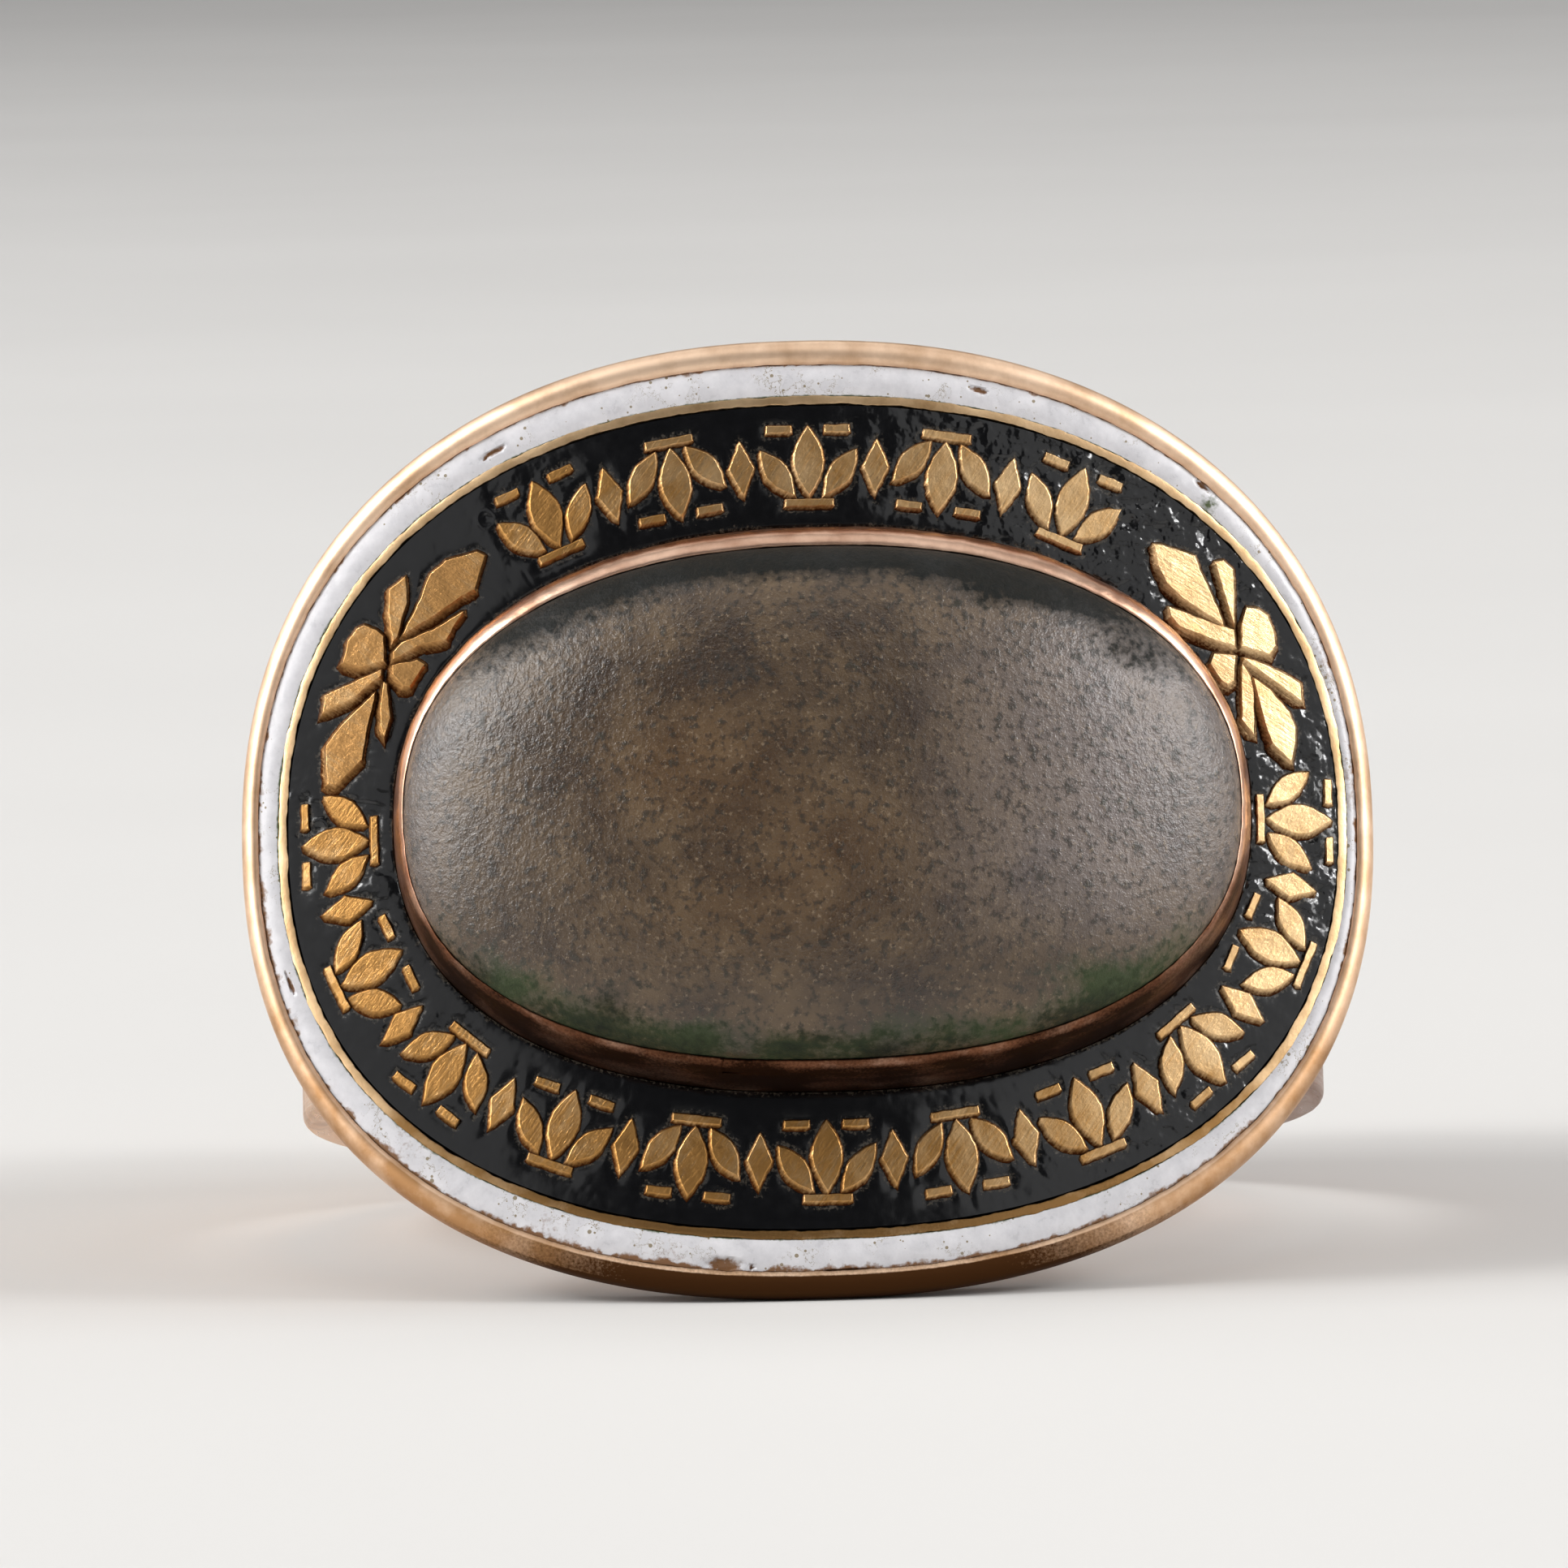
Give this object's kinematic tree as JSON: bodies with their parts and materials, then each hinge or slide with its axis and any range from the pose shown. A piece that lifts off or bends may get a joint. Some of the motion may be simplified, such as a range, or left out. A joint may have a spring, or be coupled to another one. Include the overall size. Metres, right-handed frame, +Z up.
{
  "type": "mourning ring",
  "caption": "Finger ring with a wide oval enamelled bezel bent across the finger, a raised oval collar holding a low cabochon, and a flat tapering hoop.",
  "frame": {"origin": "on the floor, below the middle of the lying ring's box", "axes": "+Z up, the face looks towards -Y and a little upwards, and X runs across the finger along the bezel's length"},
  "size_m": [0.0194, 0.0222, 0.016],
  "materials": {
    "gold": "worn polished yellow gold",
    "white_enamel": "opaque white enamel, pitted at its edges",
    "black_enamel": "opaque black enamel, glossy with pits",
    "stone": "worn, matt, speckled"
  },
  "bodies": {
    "root": {"gold_frame": "gold", "white_enamel": "white_enamel", "black_enamel": "black_enamel", "cabochon": "stone"}
  },
  "joints": []
}
